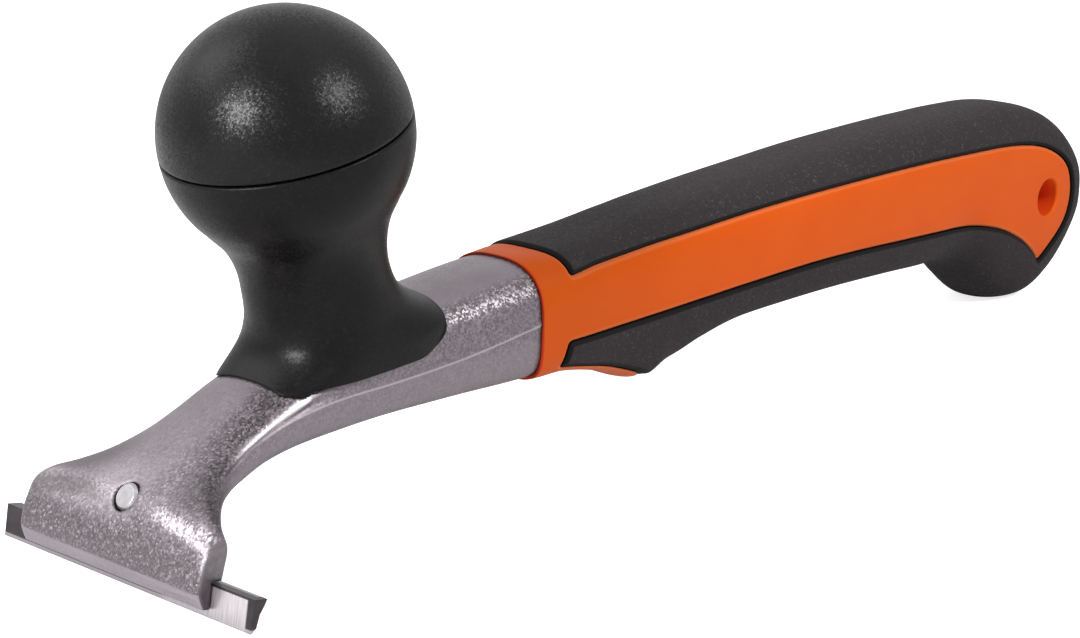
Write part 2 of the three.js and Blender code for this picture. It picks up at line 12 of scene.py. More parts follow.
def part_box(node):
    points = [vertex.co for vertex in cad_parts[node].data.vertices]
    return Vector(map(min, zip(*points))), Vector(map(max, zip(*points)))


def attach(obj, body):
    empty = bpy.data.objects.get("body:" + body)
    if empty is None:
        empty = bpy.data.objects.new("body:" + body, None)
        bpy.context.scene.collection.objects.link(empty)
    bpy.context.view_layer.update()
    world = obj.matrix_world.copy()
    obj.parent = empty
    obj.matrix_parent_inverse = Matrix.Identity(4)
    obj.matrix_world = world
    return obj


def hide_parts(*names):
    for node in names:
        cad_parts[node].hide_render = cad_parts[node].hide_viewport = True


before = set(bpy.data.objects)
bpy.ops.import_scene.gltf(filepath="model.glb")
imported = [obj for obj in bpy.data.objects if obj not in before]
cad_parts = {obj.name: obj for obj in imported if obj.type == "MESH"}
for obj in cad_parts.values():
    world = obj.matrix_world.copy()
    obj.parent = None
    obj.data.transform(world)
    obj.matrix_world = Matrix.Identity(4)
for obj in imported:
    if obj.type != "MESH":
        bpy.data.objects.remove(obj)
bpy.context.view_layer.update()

# Lengths are in millimetres in the drawing frame: the origin is the middle of the cutting edge,
# +X runs from the handle to the blade, +Y is the tool's left side and +Z is up. place() turns
# them into the frame's metres. In a table, reach is the distance behind the cutting edge.
MM = 0.001
blade_low, blade_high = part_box("carbide_blade")
core_low, core_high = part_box("handle_core")
drawing_origin = np.array([blade_high.x, (core_low.y + core_high.y) / 2, blade_low.z])

fit_gap = 0.3
overrun = 8
sliver_size = 0.0005
crease_degrees = 32
arc_steps = 7
rod_sides = 64
blade_length = (blade_high.y - blade_low.y) / MM
blade_width = 5.8
blade_thickness = 2.85
blade_lean = math.radians(9)
blade_shift = ((blade_high.y + blade_low.y) / 2 - drawing_origin[1]) / MM

collar_reach = 93
neck_height = 40.1
head_width = 47.4
bar_width = 24.4
tang_reach = 206
tang_width = 12
tang_top = 37.2
tang_bottom = 24.6
tang_taper = 3
key_diameter = 6.4
key_reaches = (138, 182)

screw_reach = 2.2
screw_height = 14.6
screw_tilt = math.radians(32)
screw_diameter = 5
screw_grip = 9.5
jaw_tongue_width = 16
jaw_heel_rise = 4
jaw_tongue_drop = 3.4
jaw_drop = 6.6
shoulder_rise = 1.0

knob_radius = 22.5
knob_reach = 39.5
knob_height = 71.4
knob_tilt = math.radians(15)
knob_wall = 3.4
parting_rise = 0.1
cap_plug_length = 5
cap_plug_wall = 2.2
cap_edge_radius = 0.5
body_rim_radius = 0.4
cap_groove_depth = 1.2
cap_seat_share = 0.8
knob_well_diameter = 16.4
knob_floor_thickness = 7
saddle_depth_share = 1.7
saddle_lean = 0.075
bolt_hole_diameter = 6.6
bolt_engagement = 11

handle_length = 201
grip_height = 48.8
grip_width = 27
grip_squareness = 3.2
panel_inset = 0.55
panel_squareness = 3.5
collar_blend_share = 0.05
collar_squareness = 2.7
collar_gap = 0.12
cover_thickness = 2.8
hang_hole_reach = 276
hang_hole_height = 25.4
hang_hole_diameter = 8.8
hang_hole_rim = 0.8

# Rolled edges along the window, each a share of a quarter round
rubber_roll = 1.1
panel_roll = 0.8
roll_share = 0.88

# Fineness: steps between stations, points in a quarter of a ring, and for the grip the rings'
# spacing and those points, in sight and under the cover
station_steps = 9
neck_count = 56
knob_count = 40
grip_fine = (1.3, 44)
grip_hidden = (4, 24)
refining_cuts = 3

# Finishes, with places in drawing millimetres and tilts of grains and edges
bevel_samples = 6
lip_top = 4.6
lip_rear = -2.6
trim_top = 14.5
front_edge_height = 14.4
front_edge_bow = -0.0045
crown_tilt = 0.42
peened_tilt = 0.26
smooth_tilt = 0.06
hollow_shade_centre = (-8, 15, 17.5)
room_light = 0.22
floor_half_size = 6.0

# Neck stations from inside the collar to the lip: top reach and height, under reach and height,
# flare, end thickness, squareness above and below, the parting ridge's lift and height, and the
# flank's step. Reaches are shares of the collar's reach, heights of the neck's height, and the
# ridge's height and the step are in millimetres.
neck_shares = [
    (1.0484, 0.955, 1.0484, 0.478, -0.09, 1.0, 2.7, 3.0, 0.05, 0.0, 0.0),
    (1.0, 1.0, 1.0, 0.44, 0.0, 1.0, 2.7, 4.6, 0.02, 0.25, 0.0),
    (0.774, 0.953, 0.778, 0.45, 0.0, 1.0, 2.7, 4.2, -0.13, 0.25, 0.0),
    (0.57, 0.88, 0.584, 0.455, 0.0, 1.0, 2.7, 3.6, -0.09, 0.25, 0.0),
    (0.419, 0.798, 0.446, 0.44, -0.01, 1.0, 2.6, 3.0, 0.12, 0.25, 0.1),
    (0.306, 0.709, 0.355, 0.422, -0.02, 1.0, 2.4, 2.6, 0.24, 0.2, 0.6),
    (0.231, 0.628, 0.287, 0.396, -0.01, 0.98, 2.35, 2.45, 0.3, 0.1, 0.9),
    (0.161, 0.549, 0.233, 0.366, 0.05, 0.93, 2.5, 2.6, 0.4, 0.0, 0.9),
    (0.102, 0.477, 0.179, 0.335, 0.19, 0.76, 3.1, 3.2, 0.5, 0.0, 0.5),
    (0.058, 0.42, 0.145, 0.308, 0.46, 0.53, 3.6, 4.0, 0.5, 0.0, 0.2),
    (0.028, 0.374, 0.12, 0.264, 0.79, 0.35, 4.6, 7.0, 0.5, 0.0, 0.0),
    (0.01, 0.319, 0.102, 0.209, 1.0, 0.42, 7.5, 13, 0.5, 0.0, 0.0),
    (-0.0105, 0.239, 0.08, 0.145, 1.0, 0.56, 13, 17, 0.5, 0.0, 0.0),
    (-0.0205, 0.17, 0.0634, 0.09, 1.0, 0.62, 19, 19, 0.5, 0.0, 0.0),
    (-0.0242, 0.112, 0.0538, 0.052, 1.0, 0.72, 19, 19, 0.5, 0.0, 0.0),
    (-0.0155, 0.044, 0.0495, 0.016, 1.0, 0.85, 19, 19, 0.5, 0.0, 0.0),
]
flank_edge_lift = 0.42
flank_edge_width = 0.06
ridge_width = 0.45
shoulder_inner = 9.0
shoulder_outer = 9.9

# The ends of the shoulder's edge in front of the saddle, which gets a painted highlight, of the
# groove under it, which gets a painted shadow, and of the shoulder behind the saddle, with its
# painted glints, in the same shares
edge_ends = {
    "highlight_edge": [(0.365, 0.675), (0.175, 0.5)],
    "groove": [(0.372, 0.658), (0.145, 0.462)],
    "shoulder": [(0.74, 0.856), (1.0, 0.888)],
}

# Handle stations from the collar's front to the rear end: reach, crest, belly, half width and
# the lower half's squareness, as shares of the handle's length, height and half width.
grip_shares = [
    (0.0, 0.8318, 0.3475, 0.945, 4.6),
    (0.055, 0.845, 0.326, 1.0, 4.4),
    (0.105, 0.861, 0.282, 1.0, 4.0),
    (0.135, 0.873, 0.242, 1.0, 3.6),
    (0.158, 0.884, 0.202, 1.0, 3.2),
    (0.179, 0.894, 0.186, 1.0, 3.0),
    (0.203, 0.902, 0.225, 1.0, 3.0),
    (0.229, 0.912, 0.254, 1.0, 3.2),
    (0.264, 0.923, 0.288, 1.0, 3.2),
    (0.324, 0.941, 0.325, 1.0, 3.2),
    (0.408, 0.963, 0.333, 1.0, 3.2),
    (0.508, 0.988, 0.331, 1.0, 3.2),
    (0.608, 1.002, 0.319, 1.0, 3.2),
    (0.682, 1.009, 0.299, 1.0, 2.8),
    (0.722, 1.01, 0.292, 1.0, 2.3),
    (0.762, 1.012, 0.248, 1.0, 2.0),
    (0.801, 1.011, 0.122, 1.0, 2.0),
    (0.847, 1.004, 0.017, 1.0, 2.5),
    (0.896, 0.974, 0.005, 1.0, 3.5),
    (0.936, 0.92, 0.055, 1.0, 3.2),
    (0.965, 0.844, 0.137, 0.98, 2.8),
    (0.988, 0.738, 0.252, 0.92, 2.5),
    (1.0, 0.615, 0.385, 0.8, 2.5),
]

# The orange window seen from the side, in the same shares
window_top_shares = [(0.044, 0.98), (0.044, 0.752)]
window_crest_shares = [
    (0.08, 0.77), (0.205, 0.801), (0.344, 0.831), (0.504, 0.845), (0.652, 0.846),
    (0.79, 0.832), (0.863, 0.807), (0.911, 0.762), (0.949, 0.68), (0.964, 0.58),
    (0.965, 0.47), (0.949, 0.35), (0.901, 0.203),
]
window_lower_shares = [
    (0.901, 0.203), (0.887, 0.264), (0.854, 0.353), (0.8, 0.44), (0.732, 0.487),
    (0.613, 0.512), (0.464, 0.532), (0.326, 0.525), (0.168, 0.51), (0.038, 0.498),
]
window_bump_shares = [
    (0.031, 0.392), (0.069, 0.362), (0.109, 0.325), (0.148, 0.271), (0.168, 0.237),
    (0.188, 0.182), (0.207, 0.08),
]
window_front_shares = [(0.207, -0.3), (-0.1, -0.3), (-0.1, 0.98)]

# Knob rings under the ball: depth, front, rear and half width as shares of the ball's radius,
# squareness in front and behind, and how far the ring leans with the neck's top.
saddle_shares = [
    (0.62, 0.785, 0.785, 0.785, 2.0, 2.0, 0.0),
    (0.8, 0.672, 0.672, 0.672, 2.0, 2.0, 0.0),
    (1.0, 0.622, 0.6, 0.605, 2.0, 2.0, 0.0),
    (1.2, 0.628, 0.57, 0.587, 2.0, 2.0, 0.1),
    (1.4, 0.638, 0.597, 0.59, 2.1, 2.1, 0.4),
    (1.54, 0.672, 0.695, 0.594, 2.3, 2.2, 0.7),
    (1.64, 0.737, 0.815, 0.6, 2.45, 2.4, 0.95),
    (1.72, 0.835, 0.93, 0.604, 2.6, 2.6, 1.0),
    (1.78, 0.935, 1.0, 0.606, 2.7, 2.8, 1.0),
    (1.84, 1.045, 1.06, 0.606, 2.7, 3.0, 1.0),
    (1.94, 1.13, 1.1, 0.604, 2.7, 3.0, 1.0),
    (2.1, 1.16, 1.11, 0.596, 2.7, 3.0, 1.0),
]
saddle_rim = 0.6
skirt_shares = [
    (0.25, 0.37), (0.4, 0.39), (0.47, 0.386), (0.492, 0.399), (0.62, 0.403), (0.79, 0.411),
    (0.845, 0.415), (0.885, 0.43), (0.914, 0.445), (0.935, 0.461), (0.947, 0.482), (0.954, 0.51),
    (0.956, 0.55),
]
skirt_end_shares = [(0.956, 0.75), (1.2, 0.75)]
knob_hollow_shares = [(0.75, 0.66), (0.93, 0.42)]
knob_well_top_share = 0.95


# Shapes
def place(points):
    """Drawing-frame millimetres as frame metres."""
    return np.asarray(points, float) * MM + drawing_origin


def smooth_rows(rows, steps):
    """The rows of a table with smooth rows added between them."""
    table = np.array(rows, float)
    padded = np.vstack([table[:1], table, table[-1:]])
    result = []
    for before, start, end, after in zip(padded, padded[1:], padded[2:], padded[3:]):
        slope_in = (end - before) / 2
        slope_out = (after - start) / 2
        bend = 3 * (end - start) - 2 * slope_in - slope_out
        twist = 2 * (start - end) + slope_in + slope_out
        for share in np.arange(steps) / steps:
            result.append(start + slope_in * share + bend * share**2 + twist * share**3)
    result.append(table[-1])
    return np.array(result)


def quarter(half_width, half_height, squareness, count):
    """A quarter of a squared-off ellipse as count + 1 shares of its half sizes, spaced by both
    length and angle so that the corner stays fine."""
    angle = np.linspace(0, math.pi / 2, 241)
    across = np.cos(angle).clip(0) ** (2 / squareness)
    lift = np.sin(angle).clip(0) ** (2 / squareness)
    steps = np.hypot(np.diff(across) * half_width, np.diff(lift) * half_height)
    length = run_length(steps)
    pace = (length / length[-1] + angle / angle[-1]) / 2
    even = np.linspace(0, 1, count + 1)
    return np.interp(even, pace, across), np.interp(even, pace, lift)


def ring(half_width, half_height, top_squareness, low_squareness, count):
    """A closed ring of 4 * count points as shares across and up, starting at the near side."""
    top_x, top_z = quarter(half_width, half_height, top_squareness, count)
    low_x, low_z = quarter(half_width, half_height, low_squareness, count)
    across = np.concatenate([top_x[:-1], -top_x[:0:-1], -low_x[:-1], low_x[:0:-1]])
    lift = np.concatenate([top_z[:-1], top_z[:0:-1], -low_z[:-1], -low_z[:0:-1]])
    return across, lift


def run_length(steps):
    """How far along a run each of its points lies."""
    return np.concatenate([[0], np.cumsum(steps)])


def smooth_step(value, low, high):
    share = ((value - low) / (high - low)).clip(0, 1)
    return share * share * (3 - 2 * share)


def stand(name, data):
    """A new object in the scene."""
    made = bpy.data.objects.new(name, data)
    bpy.context.scene.collection.objects.link(made)
    return made


def solid(name, points, faces):
    """A mesh object from drawing-frame points."""
    mesh = bpy.data.meshes.new(name)
    mesh.from_pydata(place(points).tolist(), [], faces)
    mesh.validate()
    return stand(name, mesh)


def tube(rings):
    """The numbers of the points of equal rings, a row for each ring, and the quads between."""
    rows, count = len(rings), len(rings[0])
    index = np.arange(rows * count).reshape(rows, count)
    after = np.roll(index, -1, axis=1)
    quads = np.stack([index[:-1], after[:-1], after[1:], index[1:]], axis=-1)
    return index, quads.reshape(-1, 4).tolist()


def lofted(name, rings):
    """A closed solid through rings of equal count, with flat ends. Its faces point outwards when
    the rings turn from +Y over +Z and follow one another towards +X."""
    index, faces = tube(rings)
    faces.append(index[0][::-1].tolist())
    faces.append(index[-1].tolist())
    return solid(name, np.concatenate(rings), faces)


def slab(name, outline, width):
    """An outline in X and Z, extruded across the tool to both sides of its middle."""
    outline = np.array(outline, float)
    turn = np.roll(outline, -1, axis=0)
    if np.sum(outline[:, 0] * turn[:, 1] - turn[:, 0] * outline[:, 1]) < 0:
        outline = outline[::-1]
    count = len(outline)
    sides = [
        np.column_stack([outline[:, 0], np.full(count, side), outline[:, 1]])
        for side in (-width / 2, width / 2)
    ]
    low = list(range(count))
    faces = [low, [count + k for k in reversed(low)]]
    for k in low:
        after = (k + 1) % count
        faces.append([after, k, count + k, count + after])
    return solid(name, np.concatenate(sides), faces)


def turned(points, axes):
    """Points placed by axes, a 4x4 matrix in drawing millimetres."""
    matrix = np.array(axes)
    return points @ matrix[:3, :3].T + matrix[:3, 3]


def spun(name, profile, axes, sides=96):
    """A profile of radius and height, turned about the local Z axis of the axes. The profile
    starts and ends on the axis and rises."""
    angle = np.arange(sides) * 2 * math.pi / sides
    rings = [
        np.column_stack([r * np.cos(angle), r * np.sin(angle), np.full(sides, z)])
        for r, z in profile[1:-1]
    ]
    ends = [[0, 0, profile[k][1]] for k in (0, -1)]
    index, faces = tube(rings)
    bottom, top = index.size, index.size + 1
    for k in range(sides):
        after = (k + 1) % sides
        faces.append([bottom, index[0][after], index[0][k]])
        faces.append([top, index[-1][k], index[-1][after]])
    return solid(name, turned(np.concatenate([*rings, ends]), axes), faces)


def combine(piece, other, operation):
    """Joins the piece with another, cuts it by it or keeps what is inside it, and uses it up."""
    change = piece.modifiers.new("combine", "BOOLEAN")
    change.operation = operation
    change.solver = "MANIFOLD"
    change.object = other
    graph = bpy.context.evaluated_depsgraph_get()
    mesh = bpy.data.meshes.new_from_object(piece.evaluated_get(graph))
    piece.modifiers.clear()
    piece.data = mesh
    bpy.data.objects.remove(other)


def cut(piece, *cutters):
    for cutter in cutters:
        combine(piece, cutter, "DIFFERENCE")


def drop_slivers(piece):
    """Takes out the faces without area that a cut can leave, joined on or loose in pairs."""
    mesh = bmesh.new()
    mesh.from_mesh(piece.data)
    bmesh.ops.triangulate(mesh, faces=mesh.faces)
    bmesh.ops.dissolve_degenerate(mesh, dist=sliver_size * MM, edges=mesh.edges)
    stray = [
        face for face in mesh.faces
        if len({other for edge in face.edges for other in edge.link_faces}) < 3
    ]
    bmesh.ops.delete(mesh, geom=stray, context="FACES")
    loose = [vertex for vertex in mesh.verts if not vertex.link_faces]
    bmesh.ops.delete(mesh, geom=loose, context="VERTS")
    mesh.to_mesh(piece.data)
    mesh.free()


def finish_shape(piece):
    """Smooth shading with sharp edges where the surface turns more than the crease angle."""
    piece.data.shade_smooth()
    piece.data.set_sharp_from_angle(angle=math.radians(crease_degrees))
    return piece


# Blade and clamp directions in X and Z
blade_up = np.array([-math.sin(blade_lean), math.cos(blade_lean)])
blade_back = np.array([-math.cos(blade_lean), -math.sin(blade_lean)])
screw_axis = np.array([math.cos(screw_tilt), math.sin(screw_tilt)])
seat_up = np.array([-math.sin(screw_tilt), math.cos(screw_tilt)])
seat_centre = np.array([-screw_reach, screw_height]) - screw_axis * screw_grip


def blade_point(rise, depth):
    return blade_up * rise + blade_back * depth


def seat_point(rise, depth):
    return seat_centre + seat_up * rise - screw_axis * depth


def axes_at(x, z, angle, about="Y"):
    """Axes whose origin lies in the middle of the tool's width, turned about X or Y."""
    axes = Matrix.Rotation(angle, 4, about)
    axes.translation = (x, 0, z)
    return axes


# The clamp screw's axes start at its seat, and the knob's at the ball's centre. Z runs along the
# screw to its front end and up the knob.
clamp_axes = axes_at(*seat_centre, math.pi / 2 - screw_tilt)
knob_axes = axes_at(-knob_reach, knob_height, knob_tilt)


# Casting
def neck_station(row):
    """A station's middle and upward direction in X and Z, and half its height."""
    top = np.array([-row[0] * collar_reach, row[1] * neck_height])
    under = np.array([-row[2] * collar_reach, row[3] * neck_height])
    half = np.linalg.norm(top - under) / 2
    return (top + under) / 2, (top - under) / (2 * half), half


def neck(name, grow):
    """The neck and head, or the same shape grown by a clearance."""
    rings = []
    for row in smooth_rows(neck_shares, station_steps):
        middle, up, half = neck_station(row)
        flare, end, square, low_square, ridge_lift, ridge_height, step = row[4:]
        half_width = (bar_width + flare * (head_width - bar_width)) / 2 + grow
        across, lift = ring(half_width, half, square, low_square, neck_count)
        thickness = end + (1 - end) * (1 - across**2).clip(0)
        rise = half * (1 - (1 - lift) * thickness) + lift * grow
        flank = smooth_step(np.abs(across), 0.6, 0.95) * np.sign(across)
        ridge = ridge_height * np.exp(-(((lift - ridge_lift) * half / ridge_width) ** 2))
        edge, width = flank_edge_lift, flank_edge_width
        below = 1 - smooth_step(lift, edge - width, edge + width)
        rounding = smooth_step(lift, -1.2, -0.2)
        y = across * half_width + flank * (ridge - step * below * rounding)
        rings.append(np.column_stack([middle[0] + up[0] * rise, y, middle[1] + up[1] * rise]))
    return lofted(name, rings)


def parting_distance(piece):
    """Each vertex's distance from the parting line, below 0 under it."""
    line = []
    for row in smooth_rows(neck_shares, station_steps):
        middle, up, half = neck_station(row)
        line.append(middle + up * half * row[8])
    line = np.array(line)
    seen = vertices(piece)[:, [0, 2]]
    above = seen[:, 1] - np.interp(seen[:, 0], line[:, 0], line[:, 1])
    return line_distance(seen, line) * np.sign(above)


def edge_distance(piece, ends):
    """Each vertex's distance from an edge along the outer parts of the neck's two shoulders."""
    points = vertices(piece)
    first, last = np.array(ends, float) * [-collar_reach, neck_height]
    beside = 2 * (1 - smooth_step(np.abs(points[:, 1]), shoulder_inner, shoulder_outer))
    return line_distance(points[:, [0, 2]], np.linspace(first, last, 24)) + beside


def blade_slot():
    """Everything behind the lip and under the blade's shoulder."""
    outline = [
        blade_point(-overrun, -fit_gap),
        blade_point(blade_width + fit_gap, -fit_gap),
        blade_point(blade_width + fit_gap, blade_thickness + fit_gap),
        seat_point(-jaw_tongue_drop, 0) + [0, shoulder_rise],
        seat_point(-jaw_tongue_drop, 2 * overrun) + [0, -overrun],
    ]
    return slab("blade_slot", outline, head_width + overrun)


def jaw_pocket():
    high, low = jaw_heel_rise + fit_gap, -jaw_drop - overrun
    corners = [(high, 0), (low, 0), (low, 2 * overrun), (high, 2 * overrun)]
    outline = [seat_point(rise, depth) for rise, depth in corners]
    return slab("jaw_pocket", outline, jaw_tongue_width + 2 * fit_gap)


def rod(name, axes, radius, low, high):
    return spun(name, [(0, low), (radius, low), (radius, high), (0, high)], axes, rod_sides)


def cross_axes(reach, height):
    """Axes across the tool, with Z towards its left side."""
    return axes_at(-reach, height, -math.pi / 2, "X")


def tang_outline(grow=0.0):
    front = -collar_reach - 2
    return [
        (front, tang_bottom - grow),
        (front, tang_top + grow),
        (-tang_reach - grow, tang_top + grow),
        (-tang_reach - grow, tang_bottom + tang_taper - grow),
    ]


def tang_middle(reach):
    share = (reach - collar_reach) / (tang_reach - collar_reach)
    return (tang_top + tang_bottom + share * tang_taper) / 2


def bolt_bore():
    depth = saddle_depth_share * knob_radius + bolt_engagement + fit_gap
    return rod("bolt_bore", knob_axes, bolt_hole_diameter / 2, -depth, 0)


def head_casting():
    casting = neck("casting_surface", 0.0)
    combine(casting, slab("tang", tang_outline(), tang_width), "UNION")
    screw_hole = rod("hole", clamp_axes, screw_diameter / 2 + fit_gap, -overrun, 3 * overrun)
    cut(casting, blade_slot(), jaw_pocket(), screw_hole, bolt_bore())
    for reach in key_reaches:
        axes = cross_axes(reach, tang_middle(reach))
        radius = key_diameter / 2 + fit_gap
        cut(casting, rod("key_hole", axes, radius, -tang_width, tang_width))
    distance_attribute(casting, "parting_line", parting_distance(casting))
    for name, ends in edge_ends.items():
        distance_attribute(casting, name, edge_distance(casting, ends))
    return finish_shape(casting)


# Knob
def knob_outside():
    """The knob below its parting line, with a rounded rim."""
    parting = math.asin(parting_rise / knob_radius)
    rim = body_rim_radius / knob_radius
    rim_rows = [
        (rim * (1 - math.cos(a)) - math.sin(parting), *[1 - rim * (1 - math.sin(a))] * 3, 2, 2, 0)
        for a in np.linspace(0, math.pi / 2, 6, endpoint=False)
    ]
    low_angle = math.asin(saddle_shares[0][0])
    ball_rows = [
        (math.sin(angle), *[math.cos(angle)] * 3, 2.0, 2.0, 0.0)
        for angle in np.linspace(rim - parting, low_angle, 4, endpoint=False)
    ]
    rings = []
    for depth, front, rear, width, square, rear_square, lean in [
        *rim_rows, *smooth_rows(ball_rows + saddle_shares, station_steps)
    ]:
        across, along = ring(1, 1, square, rear_square, knob_count)
        x = along * np.where(along > 0, front, rear) * knob_radius
        y = across * width * knob_radius
        z = lean * saddle_lean * x - depth * knob_radius
        rings.append(turned(np.column_stack([x, y, z]), knob_axes))
    return lofted("knob_surface", rings)


def knob_hollow():
    inner = knob_radius - knob_wall
    well = knob_well_diameter / 2
    floor = -saddle_depth_share * knob_radius + knob_floor_thickness
    rim = parting_rise + overrun
    profile = [(0, floor), (well, floor), (well, -knob_well_top_share * knob_radius)]
    profile += [(r * inner, -depth * knob_radius) for r, depth in knob_hollow_shares]
    profile += [(inner, parting_rise - cap_plug_length - fit_gap), (inner, rim), (0, rim)]
    return spun("knob_hollow", profile, knob_axes, rod_sides)


def knob_body():
    """The knob's lower part with its saddle, whose rear half thins to a rim along the neck."""
    body = knob_outside()
    rim = neck("saddle_rim", fit_gap + saddle_rim)
    front, rear = -knob_reach, -2 * knob_reach
    keep = [(front, 0), (front, knob_height), (rear, knob_height), (rear, 0)]
    combine(rim, slab("rim_keep", keep, 3 * knob_radius), "INTERSECT")
    combine(body, rim, "UNION")
    skirt = np.vstack([smooth_rows(skirt_shares, 4), skirt_end_shares]) * [-1, 1] * knob_height
    under = [(skirt[-1][0], -knob_height), (skirt[0][0], -knob_height)]
    cut(body, knob_hollow(), bolt_bore(), neck("neck_clearance", fit_gap))
    cut(body, slab("skirt_cut", np.vstack([skirt, under]), 3 * knob_radius))
    drop_slivers(body)
    return finish_shape(body)


def knob_cap():
    rim = parting_rise + fit_gap
    plug = knob_radius - knob_wall - fit_gap
    edge = cap_edge_radius
    start = math.asin((rim + edge) / knob_radius)
    inside = plug - cap_plug_wall
    dome = np.linspace(math.pi / 2, start, 64)
    bowl = np.linspace(0, math.pi / 2, 24)
    outer = [(knob_radius * math.cos(a), knob_radius * math.sin(a)) for a in dome]
    lip = [
        (knob_radius * math.cos(start) - edge * (1 - math.cos(a)), rim + edge - edge * math.sin(a))
        for a in np.linspace(0, math.pi / 2, arc_steps)[1:]
    ]
    groove, seat = knob_radius - cap_groove_depth, rim - cap_seat_share * fit_gap
    low = [(groove, rim), (groove, seat), (plug, seat)]
    low += [(plug, rim - cap_plug_length), (inside, rim - cap_plug_length)]
    hollow = [(inside * math.cos(a), inside * math.sin(a)) for a in bowl]
    profile = list(reversed(outer + lip + low + hollow))
    profile[0] = (0, profile[0][1])
    profile[-1] = (0, profile[-1][1])
    return finish_shape(spun("cap_surface", profile, knob_axes, 160))


# Handle
def even_rows(rows, spacing):
    """Rows walked in even steps of length, measured along the crest and the belly."""
    fine = smooth_rows(rows, 24)
    run = np.diff(fine[:, :3] * [handle_length, grip_height, grip_height], axis=0)
    length = run_length(np.abs(run).sum(axis=1))
    even = np.linspace(0, length[-1], int(length[-1] / spacing))
    return np.column_stack([np.interp(even, length, column) for column in fine.T])


def grip(name, inset, square, fineness=grip_fine, collar_inset=None):
    """The handle's outside, or the same shape drawn in by an inset, which may differ at the
    collar's front."""
    front_inset = inset if collar_inset is None else collar_inset
    spacing, count = fineness
    rings = []
    for row in even_rows(grip_shares, spacing):
        reach, crest_share, belly_share, width_share, belly_square = row
        blend = smooth_step(reach, 0.0, collar_blend_share)
        depth = front_inset + (inset - front_inset) * blend
        x = -collar_reach - reach * (handle_length - inset)
        crest = crest_share * grip_height - depth
        belly = belly_share * grip_height + depth
        half_width = width_share * grip_width / 2 - depth
        half = (crest - belly) / 2
        crest_square = collar_squareness + (square - collar_squareness) * blend
        across, lift = ring(half_width, half, crest_square, belly_square, count)
        z = (crest + belly) / 2 + lift * half
        rings.append(np.column_stack([np.full(len(z), x), across * half_width, z]))
    return lofted(name, rings[::-1])


def handle_places(shares):
    """A table of reach and height shares as X and Z."""
    return [(-collar_reach - r * handle_length, h * grip_height) for r, h in shares]


def curve_through(shares, count):
    """A smooth run of about count points through a table of reach and height shares."""
    return smooth_rows(handle_places(shares), count // (len(shares) - 1))


def rounded(outline, spacing=0.4, passes=5):
    """A closed outline walked in even steps, with its corners softened."""
    closed = np.vstack([outline, outline[:1]])
    length = run_length(np.hypot(*np.diff(closed, axis=0).T))
    even = np.arange(0, length[-1], spacing)
    walk = np.column_stack([np.interp(even, length, closed[:, k]) for k in (0, 1)])
    for _ in range(passes):
        walk = (np.roll(walk, 1, axis=0) + 2 * walk + np.roll(walk, -1, axis=0)) / 4
    return walk


def window_outline():
    runs = [
        handle_places(window_top_shares),
        curve_through(window_crest_shares, 120),
        curve_through(window_lower_shares, 90)[1:],
        curve_through(window_bump_shares, 60),
        handle_places(window_front_shares),
    ]
    return rounded(np.vstack(runs))


def line_distance(points, line, closed=False, exact_within=6):
    """How far each X, Z point lies from a line of points, measured exactly where it is near."""
    coarse = np.full(len(points), np.inf)
    for place_on_line in line[::4]:
        coarse = np.minimum(coarse, ((points - place_on_line) ** 2).sum(axis=1))
    coarse = np.sqrt(coarse)
    near = coarse < exact_within
    wanted, nearest = points[near], coarse[near]
    ends = np.roll(line, -1, axis=0) if closed else line[1:]
    for start, end in zip(line, ends):
        run, offset = end - start, wanted - start
        share = (offset @ run / max(run @ run, 1e-12)).clip(0, 1)
        gap = offset - share[:, None] * run
        nearest = np.minimum(nearest, np.hypot(*gap.T))
    coarse[near] = nearest
    return coarse


def lies_inside(points, outline):
    """Which X, Z points lie inside a closed outline."""
    inside = np.zeros(len(points), bool)
    for start, end in zip(outline, np.roll(outline, -1, axis=0)):
        rise = end[1] - start[1]
        if rise:
            crosses = (start[1] > points[:, 1]) != (end[1] > points[:, 1])
            x = start[0] + (points[:, 1] - start[1]) * (end[0] - start[0]) / rise
            inside ^= crosses & (points[:, 0] < x)
    return inside


def vertices(piece):
    """A piece's points in drawing millimetres."""
    flat = np.empty(len(piece.data.vertices) * 3)
    piece.data.vertices.foreach_get("co", flat)
    return (flat.reshape(-1, 3) - drawing_origin) / MM


def move_inwards(piece, depth):
    """Each vertex sunk along its normal by its own depth in millimetres."""
    normals = np.empty(len(depth) * 3)
    piece.data.vertex_normals.foreach_get("vector", normals)
    points = vertices(piece) - normals.reshape(-1, 3) * depth[:, None]
    piece.data.vertices.foreach_set("co", place(points).ravel())
    piece.data.update()


def refine(piece, reach):
    """Splits the edges within a reach of the window, so that a rolled rim there is smooth."""
    near = window_distance(piece)[0] < reach
    mesh = bmesh.new()
    mesh.from_mesh(piece.data)
    edges = [e for e in mesh.edges if near[e.verts[0].index] and near[e.verts[1].index]]
    bmesh.ops.subdivide_edges(mesh, edges=edges, cuts=refining_cuts, use_grid_fill=True)
    mesh.to_mesh(piece.data)
    mesh.free()


def rolled(distance, radius):
    """The depth of a rounded edge at a distance from it, a little less than a quarter round."""
    near = roll_share * (1 - distance / radius).clip(0, 1)
    return radius * (1 - np.sqrt(1 - near**2))


def distance_attribute(piece, name, distance):
    """Stores a distance in millimetres at each vertex, for the finishes."""
    layer = piece.data.attributes.new(name, "FLOAT", "POINT")
    layer.data.foreach_set("value", distance.astype(np.float32))


def window_distance(piece):
    """Each vertex's distance from the window's edge, and which vertices lie inside it."""
    seen = vertices(piece)[:, [0, 2]]
    return line_distance(seen, window, closed=True), lies_inside(seen, window)


window = window_outline()
panel_face = grip_width / 2 - panel_inset


